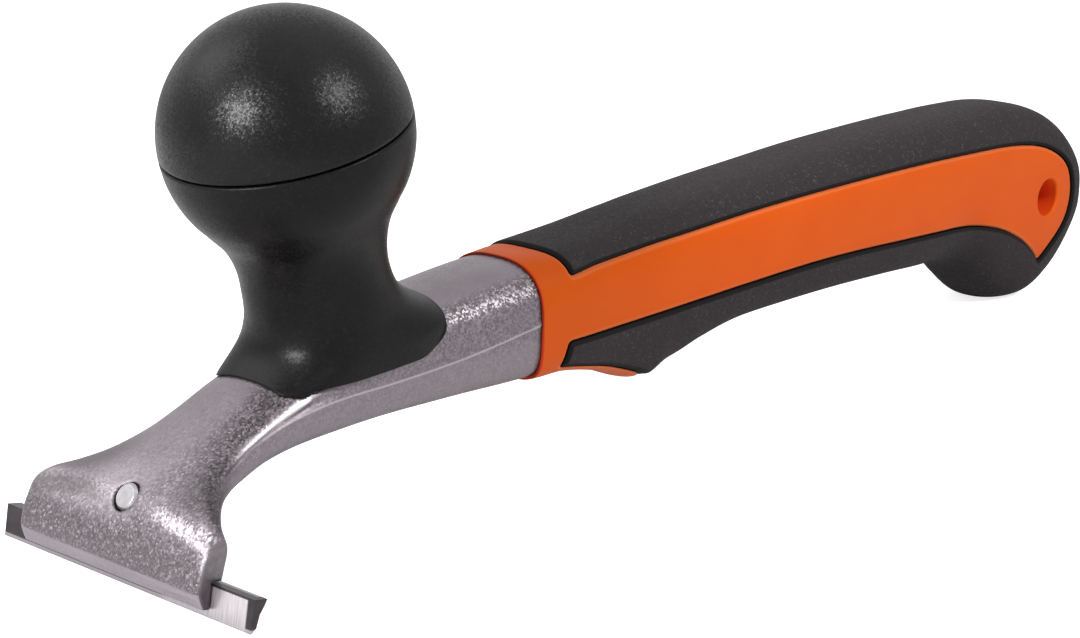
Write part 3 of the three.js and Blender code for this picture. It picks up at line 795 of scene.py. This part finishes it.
def handle_core():
    """The orange core: panels and collar within the window, and the body under the cover."""
    shell = grip("core_surface", panel_inset, panel_squareness, collar_inset=0.0)
    refine(shell, 2 * panel_roll)
    distance, inside = window_distance(shell)
    move_inwards(shell, rolled(distance * inside, panel_roll))
    combine(shell, slab("window_keep", window, 2 * grip_width), "INTERSECT")
    under = grip("under_cover", cover_thickness, grip_squareness, grip_hidden)
    combine(shell, under, "UNION")
    tang_slot = slab("tang_slot", tang_outline(fit_gap), tang_width + 2 * fit_gap)
    cut(shell, neck("neck_clearance", collar_gap), tang_slot)
    hole, rim, face = hang_hole_diameter / 2, hang_hole_rim, panel_face
    flare = [
        (hole + rim * (1 - math.cos(a)), face - rim * (1 - math.sin(a)) + 0.05)
        for a in np.linspace(0, math.pi / 2, arc_steps)
    ]
    upper = flare + [(hole + rim, face + overrun), (0, face + overrun)]
    lower = [(radius, -height) for radius, height in reversed(upper)]
    cut(shell, spun("hang_hole", lower + upper, cross_axes(hang_hole_reach, hang_hole_height)))
    for reach in key_reaches:
        axes = cross_axes(reach, tang_middle(reach))
        half = tang_width / 2 + cover_thickness
        combine(shell, rod("key", axes, key_diameter / 2, -half, half), "UNION")
    drop_slivers(shell)
    distance_attribute(shell, "window_edge", window_distance(shell)[0])
    return finish_shape(shell)


def grown(outline, distance):
    """A closed outline moved outwards along its normals."""
    ahead, behind = np.roll(outline, -1, axis=0), np.roll(outline, 1, axis=0)
    along = ahead - behind
    along /= np.hypot(*along.T)[:, None]
    area = np.sum(outline[:, 0] * ahead[:, 1] - ahead[:, 0] * outline[:, 1])
    normal = np.column_stack([along[:, 1], -along[:, 0]]) * math.copysign(1, area)
    return outline + normal * distance


def grip_rubber():
    """The black cover, with a rolled edge along the orange window."""
    cover = grip("cover_surface", 0.0, grip_squareness)
    refine(cover, 2 * rubber_roll)
    distance, inside = window_distance(cover)
    move_inwards(cover, rolled(((distance - fit_gap) * ~inside).clip(0), rubber_roll))
    cut(cover, slab("window_cut", grown(window, fit_gap), 2 * grip_width))
    cut(cover, grip("inner", cover_thickness - fit_gap, grip_squareness, grip_hidden))
    drop_slivers(cover)
    distance_attribute(cover, "window_edge", window_distance(cover)[0])
    return finish_shape(cover)


# Materials
def linear(hex_colour):
    """An sRGB hex colour as linear red, green, blue and alpha."""
    values = [int(hex_colour[k : k + 2], 16) / 255 for k in (1, 3, 5)]
    return [v / 12.92 if v <= 0.04045 else ((v + 0.055) / 1.055) ** 2.4 for v in values] + [1]


class Nodes:
    """Shader nodes in the emptied tree of a material or a world."""

    def __init__(self, owner):
        owner.use_nodes = True
        self.tree = owner.node_tree
        self.tree.nodes.clear()

    def feed(self, node, **inputs):
        """Sets a node's inputs, each to a value or to another node's output. An input named
        in0, in1 and so on is set by its number."""
        for key, value in inputs.items():
            numbered = key.startswith("in") and key[2:].isdigit()
            socket = node.inputs[int(key[2:]) if numbered else key.replace("_", " ")]
            if isinstance(value, bpy.types.NodeSocket):
                self.tree.links.new(value, socket)
            else:
                socket.default_value = value

    def add(self, kind, settings=None, **inputs):
        """A shader node with its settings and inputs."""
        made = self.tree.nodes.new("ShaderNode" + kind)
        for key, value in (settings or {}).items():
            setattr(made, key, value)
        self.feed(made, **inputs)
        return made

    def ramp(self, value, *stops):
        """A colour ramp over (position, hex colour) stops."""
        made = self.add("ValToRGB", Fac=value)
        elements = made.color_ramp.elements
        while len(elements) < len(stops):
            elements.new(0.5)
        for element, (position, colour) in zip(elements, stops):
            element.position = position
            element.color = linear(colour)
        return made.outputs["Color"]

    def band(self, value, low, high, start=0.0, end=1.0):
        """A value's smooth share between two limits."""
        settings = {"interpolation_type": "SMOOTHSTEP"}
        made = self.add("MapRange", settings, in0=value, in1=low, in2=high, in3=start, in4=end)
        return made.outputs[0]

    def maths(self, operation, first, *others):
        """An operation on one value, or on a value and each of the others in turn."""
        for other in others or [0.0]:
            first = self.add("Math", {"operation": operation}, in0=first, in1=other).outputs[0]
        return first

    def times(self, *factors):
        return self.maths("MULTIPLY", *factors)

    def vectors(self, operation, first, second=(0, 0, 0), scale=1.0):
        """An operation on vectors, or the distance between two places."""
        settings = {"operation": operation}
        made = self.add("VectorMath", settings, in0=first, in1=second, in3=scale)
        return made.outputs["Value" if operation == "DISTANCE" else "Vector"]

    def parts(self, vector):
        """A vector's X, Y and Z."""
        return self.add("SeparateXYZ", Vector=vector).outputs

    def mixed(self, share, first, second):
        settings = {"data_type": "RGBA"}
        return self.add("Mix", settings, in0=share, in6=first, in7=second).outputs[2]

    def painted(self, colour, share, hex_colour):
        """A colour with a share of another, which is given in hex."""
        return self.mixed(share, colour, linear(hex_colour))


class Finish(Nodes):
    """A material with its shader and Object coordinates in drawing millimetres."""

    def __init__(self, name):
        self.material = bpy.data.materials.new(name)
        super().__init__(self.material)
        self.shader = self.add("BsdfPrincipled")
        self.add("OutputMaterial", Surface=self.shader.outputs[0])
        origin = [-value / MM for value in drawing_origin]
        self.place = self.add("TexCoord").outputs["Object"]
        self.place = self.mapped([1 / MM] * 3, origin)

    def mapped(self, scale, location=(0, 0, 0)):
        """The coordinates scaled by axis and moved."""
        return self.add("Mapping", Vector=self.place, Scale=scale, Location=location).outputs[0]

    def stored(self, name):
        """A distance in millimetres that distance_attribute stored."""
        return self.add("Attribute", {"attribute_name": name}).outputs["Fac"]

    def grain(self, size, detail=2.0, stretch=None):
        """Noise around 0.5 whose features are about size millimetres across, or are drawn out
        where a stretch gives each axis its own scale."""
        place = self.mapped(stretch) if stretch else self.place
        return self.add("TexNoise", Vector=place, Scale=1 / size, Detail=detail).outputs["Fac"]

    def bump(self, height, depth, normal):
        """A bump of depth millimetres for a height of 0 to 1, over a normal."""
        made = self.add("Bump", Height=height, Distance=depth * MM, Strength=1.0, Normal=normal)
        return made.outputs[0]

    def soft_edge(self, radius):
        """Normals rounded over edges of a radius in millimetres."""
        return self.add("Bevel", {"samples": bevel_samples}, Radius=radius * MM).outputs[0]

    def facets(self, normal, size, tilt):
        """A random number per grain of about size millimetres, and the normal with each
        grain's face tilted its own way by up to about tilt."""
        grains = self.add("TexVoronoi", Vector=self.place, Scale=1 / size).outputs["Color"]
        centred = self.vectors("SUBTRACT", grains, (0.5, 0.5, 0.5))
        tilted = self.vectors("ADD", normal, self.vectors("SCALE", centred, scale=tilt))
        random = self.add("SeparateColor", in0=grains).outputs[0]
        return random, self.vectors("NORMALIZE", tilted)

    def done(self, **inputs):
        """The material, with its shader's inputs set."""
        self.feed(self.shader, **inputs)
        return self.material


def shot_blasted_aluminium():
    """Die-cast aluminium alloy, shot-blasted: a grey metal with a faint lilac cast whose peened
    grains glitter. Grains are drawn 0.35 mm across, coarser than the real grit, so that they
    show. The top and flanks are smoother, the lip is ground and the ends of the head are
    trim-cut. The head's front is drawn slightly crowned, so that its upper edge catches light.
    Light and shade are painted in too: the top is painted lighter as light from above, except on
    its near half; painted highlights lie on the head's upper front, the shoulder's edge in front
    of the saddle and the parting ridge, with painted glints behind the saddle; painted shade lies
    in the hollows beside the head, along the groove under the shoulder and low on the head's ends."""
    m = Finish("shot_blasted_aluminium")
    x, y, z = m.parts(m.place)
    facing = m.parts(m.add("NewGeometry").outputs["Normal"])
    sideways = m.maths("ABSOLUTE", facing[1])
    aside = m.maths("ABSOLUTE", y)
    clumps = m.grain(1.2, 3)
    tone = m.grain(9.0)

    # Where the grain is calmer. The shoulder's edge behind the saddle glitters.
    raised = m.maths("ADD", facing[2], m.times(clumps, 0.12))
    near_half = m.times(m.band(y, 1, 7, 0.0, 0.55), m.band(x, -46, -38))
    upward = m.times(m.band(raised, 0.80, 0.99), m.maths("SUBTRACT", 1, near_half))
    side = m.band(sideways, 0.6, 0.92)
    lip = m.times(m.band(z, lip_top, lip_top - 0.4), m.band(x, lip_rear, lip_rear + 0.4))
    head_end = head_width / 2
    end = m.band(aside, head_end - 0.3, head_end - 0.1)
    end = m.times(end, m.band(z, trim_top, trim_top - 0.5))
    # The shoulder's edge in front of the saddle: calmer grain, and further down a painted
    # highlight
    highlight_band = m.band(m.stored("highlight_edge"), 0.95, 0.2)
    highlight_band = m.times(highlight_band, m.band(x, -14.5, -22))
    glint = m.band(m.stored("shoulder"), 1.4, 0.3)
    calm = m.maths("MAXIMUM", upward, side, lip, end, highlight_band)
    calm = m.maths("SUBTRACT", calm, m.times(glint, 0.6))
    tilt = m.band(calm, 0.0, 1.0, peened_tilt, smooth_tilt)

    # The crown along the bowed upper edge of the head's front
    edge_height = m.maths("ADD", m.times(aside, aside, front_edge_bow), front_edge_height)
    crest = m.maths("ABSOLUTE", m.maths("SUBTRACT", z, edge_height))
    crown = m.times(m.band(crest, 2.2, 0.2), m.band(aside, 2, 14))
    crown = m.times(crown, m.maths("SIGN", y), m.band(x, -8, -3), crown_tilt)
    outward = m.add("CombineXYZ", Y=crown).outputs[0]
    normal = m.vectors("ADD", m.soft_edge(0.9), outward)
    grain_value, glitter = m.facets(normal, 0.35, tilt)

    # Colours, with painted light and shade
    speckle = m.mixed(0.25, grain_value, clumps)
    stops = [(0.1, "#5a5558"), (0.6, "#696267"), (0.8, "#7d767b"), (0.95, "#a29b9f")]
    peened = m.ramp(speckle, *stops)
    # A painted highlight on the upper part of the head's front, strongest on the far side
    painted_front_highlight = m.times(m.band(z, 9, 14, 0.0, 0.45), m.band(x, -14, -7))
    peened = m.painted(peened, m.times(painted_front_highlight, m.band(y, 6, -6, 0.1, 1.0)), "#b0a9ae")
    smooth = m.ramp(tone, (0.3, "#7b7379"), (0.7, "#857d83"))
    flank = m.ramp(speckle, (0.2, "#625b60"), (0.8, "#7e777d"))
    lower = m.ramp(speckle, (0.2, "#756d73"), (0.8, "#837b82"))
    flank = m.mixed(m.band(z, 28, 25), flank, lower)
    # Up-facing surfaces take the lighter smooth colour: partly a smoother finish, partly painted
    # light from above, less on the top's near half
    colour = m.mixed(m.times(upward, 0.9), peened, smooth)
    colour = m.mixed(m.times(side, 0.85), colour, flank)
    # Painted glints on the grains along the shoulder behind the saddle
    painted_glints = m.times(glint, m.band(grain_value, 0.55, 0.8))
    colour = m.painted(colour, m.times(painted_glints, 0.5), "#c4bfc1")
    # Painted shade in the hollow on each side of the head, where the neck narrows
    mirrored = m.add("CombineXYZ", X=x, Y=aside, Z=z).outputs[0]
    hollow_shade = m.band(m.vectors("DISTANCE", mirrored, hollow_shade_centre), 11, 2, 0.0, 0.5)
    colour = m.painted(colour, hollow_shade, "#474346")
    # A painted highlight along the shoulder's edge in front of the saddle
    colour = m.painted(colour, m.times(highlight_band, 0.75), "#cdc8ca")
    # Painted shadow along the groove under the shoulder's edge
    groove = m.band(m.stored("groove"), 0.5, 0.1, 0.0, 0.6)
    colour = m.painted(colour, groove, "#3c3638")
    # A painted highlight along the parting ridge on the flanks
    seam_highlight = m.band(m.maths("ABSOLUTE", m.stored("parting_line")), 0.32, 0.08)
    seam_highlight = m.times(seam_highlight, m.band(sideways, 0.5, 0.8), m.band(x, -15, -28))
    colour = m.painted(colour, m.times(seam_highlight, 0.45), "#bdb6ba")
    lines = m.grain(0.6, 3, stretch=(1.2, 0.05, 2.5))
    ground = m.ramp(lines, (0.3, "#827b81"), (0.7, "#938c92"))
    trimmed_and_shaded = m.ramp(clumps, (0.3, "#676265"), (0.7, "#736e71"))
    # Painted shade low on the head's end faces, beside the blade
    trimmed_and_shaded = m.painted(trimmed_and_shaded, m.band(z, 8, 4, 0.0, 0.6), "#393537")
    colour = m.mixed(end, m.mixed(lip, colour, ground), trimmed_and_shaded)
    rough = m.band(grain_value, 0, 1, 0.36, 0.5)
    relief = m.bump(clumps, 0.015, glitter)
    return m.done(Base_Color=colour, Roughness=rough, Metallic=0.9, Normal=relief)


def sintered_carbide():
    """Cemented carbide: a dense dark grey metal. A bright ground face with fine lines across the
    blade, drawn 0.3 mm apart so that they show, is painted on the near end only as a painted
    reflection; it stops short of the top and of the near end and darkens towards the bottom."""
    m = Finish("sintered_carbide")
    _, y, z = m.parts(m.place)
    dark = m.ramp(m.grain(2.5, 3), (0.3, "#343033"), (0.7, "#423d41"))
    lines = m.grain(0.3, stretch=(0.1, 1.0, 0.06))
    bright = m.ramp(lines, (0.3, "#aba4a8"), (0.7, "#cbc4c8"))
    end = blade_shift + blade_length / 2
    top = blade_width * math.cos(blade_lean)
    # The bright face is painted on the near end only, as a painted reflection
    face = m.times(m.band(y, end - 1.3, end - 1.7), m.band(y, 10, 14))
    face = m.times(face, m.band(z, top - 0.3, top - 0.5))
    # The painted reflection darkens towards the bottom
    bright = m.painted(bright, m.band(z, 4.0, 0.0, 0.0, 0.4), "#787378")
    colour = m.painted(dark, m.band(z, 0.75, 0.6), "#958e93")
    colour = m.mixed(face, colour, bright)
    relief = m.bump(lines, 0.01, m.soft_edge(0.12))
    return m.done(Base_Color=colour, Roughness=0.36, Metallic=0.9, Normal=relief)


def machined_steel():
    """Bright zinc-plated steel for the screws, washers and jaw, with faint turned marks."""
    m = Finish("machined_steel")
    colour = m.ramp(m.grain(1.5, 4), (0.3, "#a4a1a4"), (0.7, "#b8b5b8"))
    relief = m.bump(m.grain(0.3), 0.01, m.soft_edge(0.15))
    return m.done(Base_Color=colour, Roughness=0.33, Metallic=1.0, Normal=relief)


def knob_plastic(name, tilt, roughness, specular):
    """Glass-filled nylon moulded in a spark-eroded tool: near black, with a fine grain that
    breaks the highlights into specks. The grain is drawn 0.28 mm across."""
    m = Finish(name)
    pit, sparkle = m.facets(m.soft_edge(0.25), 0.28, tilt)
    colour = m.ramp(m.grain(5.0), (0.3, "#070606"), (0.7, "#0b0a0a"))
    colour = m.painted(colour, m.band(pit, 0.8, 1.0, 0.0, 0.06), "#4a4648")
    relief = m.bump(m.grain(0.6, 3), 0.01, sparkle)
    gloss = {"Roughness": roughness, "Specular_IOR_Level": specular}
    return m.done(Base_Color=colour, Normal=relief, **gloss)


def orange_plastic():
    """Polypropylene in a satin tool: saturated orange with painted shade darkening it towards the
    collar and a painted highlight along its rounded edges, and redder inside the hang hole and
    along the collar's front."""
    m = Finish("orange_plastic")
    x, y, z = m.parts(m.place)
    colour = m.ramp(m.grain(14.0), (0.3, "#c94e08"), (0.7, "#cc5209"))
    # Painted shade: the orange darkens towards the collar
    colour = m.painted(colour, m.band(x, -165, -95, 0.0, 0.75), "#b64a0b")
    # A painted highlight along the window's rounded edges
    rim = m.times(m.band(m.stored("window_edge"), 1.0, 0.2), 0.3)
    colour = m.painted(colour, rim, "#e58f60")
    front = m.band(x, -collar_reach - 0.5, -collar_reach - 0.2)
    colour = m.painted(colour, front, "#b43514")
    beside = m.add("CombineXYZ", X=x, Z=z).outputs[0]
    away = m.vectors("DISTANCE", beside, (-hang_hole_reach, 0, hang_hole_height))
    deep = m.band(m.maths("ABSOLUTE", y), panel_face - 0.55, panel_face - 1.35)
    hole = hang_hole_diameter / 2
    inside = m.times(deep, m.band(away, hole + 1, hole + 0.6))
    colour = m.painted(colour, inside, "#e04a1a")
    relief = m.bump(m.grain(0.5), 0.008, m.soft_edge(0.3))
    return m.done(Base_Color=colour, Roughness=0.45, Specular_IOR_Level=0.08, Normal=relief)


def grip_elastomer():
    """Thermoplastic rubber in a sand-textured tool: matt, dark warm grey with paler grains, and a
    smooth edge where it meets the orange, painted black as shade. The sand is drawn 0.4 mm across."""
    m = Finish("grip_elastomer")
    fine = m.grain(0.5, 3)
    rim = m.band(m.stored("window_edge"), 1.2, 0.9)
    tilt = m.band(rim, 0, 1, 0.3, 0.0)
    sand, sparkle = m.facets(m.soft_edge(0.3), 0.4, tilt)
    colour = m.ramp(fine, (0.3, "#221f20"), (0.7, "#2e2a2b"))
    colour = m.painted(colour, m.times(m.grain(12.0, 3), 0.3), "#3c3739")
    colour = m.painted(colour, m.band(sand, 0.9, 1.0, 0.0, 0.16), "#787274")
    # Painted shade: the rubber's smooth rolled edge along the window is painted black
    colour = m.painted(colour, rim, "#0c0b0b")
    relief = m.bump(fine, 0.03, sparkle)
    return m.done(Base_Color=colour, Roughness=0.7, Specular_IOR_Level=0.1, Normal=relief)


def coat(piece, material):
    piece.data.materials.clear()
    piece.data.materials.append(material)


# Dressing: each new piece stands for its solid and rides on that solid's body
body_plastic = knob_plastic("knob_body_plastic", 0.1, 0.38, 0.12)
cap_plastic = knob_plastic("knob_cap_plastic", 0.18, 0.34, 0.16)
dressed = [
    (head_casting, "head_casting", shot_blasted_aluminium(), "cast_aluminium"),
    (knob_body, "knob_body", body_plastic, "black_plastic"),
    (knob_cap, "knob_cap", cap_plastic, "black_plastic"),
    (handle_core, "handle_core", orange_plastic(), "orange_plastic"),
    (grip_rubber, "grip_rubber", grip_elastomer(), "grip_rubber"),
]
for make, node, material, slot in dressed:
    piece = make()
    coat(piece, material)
    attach(piece, "root")
    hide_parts(node)

coat(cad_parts["carbide_blade"], sintered_carbide())
steel = machined_steel()
for node in ("clamp_jaw", "clamp_screw", "clamp_washer", "knob_bolt", "knob_washer"):
    coat(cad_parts[node], steel)


# Stage
def floor():
    """A pale floor that shows white to the camera and keeps a soft shadow."""
    size = floor_half_size
    corners = [(-size, -size, 0), (size, -size, 0), (size, size, 0), (-size, size, 0)]
    mesh = bpy.data.meshes.new("floor")
    mesh.from_pydata(corners, [], [[0, 1, 2, 3]])
    made = stand("floor", mesh)
    material = bpy.data.materials.new("pale_floor")
    m = Nodes(material)
    seen = m.add("LightPath").outputs
    camera_glow = m.times(seen["Is Camera Ray"], 0.8)
    glow = m.maths("MAXIMUM", camera_glow, m.times(seen["Is Glossy Ray"], 0.15))
    paint = m.add("BsdfDiffuse", Color=(0.8, 0.8, 0.8, 1))
    light = m.add("Emission", Strength=glow)
    both = m.add("AddShader", in0=paint.outputs[0], in1=light.outputs[0])
    m.add("OutputMaterial", Surface=both.outputs[0])
    made.data.materials.append(material)


def sky():
    """A white room: even soft light, and plain white to the camera and in reflections."""
    world = bpy.data.worlds.new("white_room")
    bpy.context.scene.world = world
    m = Nodes(world)
    seen = m.add("LightPath").outputs
    rays = [seen[f"Is {kind} Ray"] for kind in ("Camera", "Glossy", "Transmission")]
    strength = m.band(m.maths("MAXIMUM", *rays), 0, 1, room_light, 1.0)
    back = m.add("Background", Color=(1, 1, 1, 1), Strength=strength)
    m.add("OutputWorld", Surface=back.outputs[0])


def soft_box(name, direction, distance, size, power, target):
    """A square lamp that looks at a target from a direction, in the drawing frame."""
    lamp = bpy.data.lights.new(name, "AREA")
    lamp.shape = "SQUARE"
    lamp.size = size
    lamp.energy = power
    made = stand(name, lamp)
    towards = Vector(direction).normalized()
    made.location = Vector(place(target)) + towards * distance
    made.rotation_mode = "QUATERNION"
    made.rotation_quaternion = towards.to_track_quat("Z", "Y")


floor()
sky()
ball_centre, head_top, handle_middle = (-knob_reach, 0, knob_height), (-20, 0, 20), (-145, 0, 20)
soft_box("front_soft_box", (0.894, 0.033, 0.446), 0.9, 0.16, 12.5, ball_centre)
soft_box("side_soft_box", (-0.254, 0.747, 0.614), 0.9, 0.16, 5.6, ball_centre)
soft_box("far_soft_box", (0.35, -0.6, 0.72), 1.0, 0.6, 3.5, head_top)
soft_box("top_soft_box", (-0.1, 0.1, 1.0), 1.0, 0.8, 1.0, handle_middle)


# Camera: fitted to the photograph's outlines, taken as 1080 by 638 pixels
def camera():
    photo_width, focal_pixels, lift_pixels, sensor = 1080, 2500, 1.3, 36.0
    eye = (247.845, 315.234, 156.765)
    right = Vector((-0.669, 0.743, 0.018))
    back = Vector((0.720, 0.641, 0.268)).normalized()
    up = back.cross(right).normalized()
    right = up.cross(back)
    data = bpy.data.cameras.new("photo_camera")
    data.sensor_width = sensor
    data.lens = sensor * focal_pixels / photo_width
    data.shift_y = lift_pixels / photo_width
    data.clip_start = 0.01
    data.clip_end = 50
    made = stand("photo_camera", data)
    turn = Matrix((right, up, back)).transposed().to_4x4()
    turn.translation = Vector(place(eye))
    made.matrix_world = turn
    bpy.context.scene.camera = made


camera()
bpy.context.scene.view_settings.view_transform = "Standard"
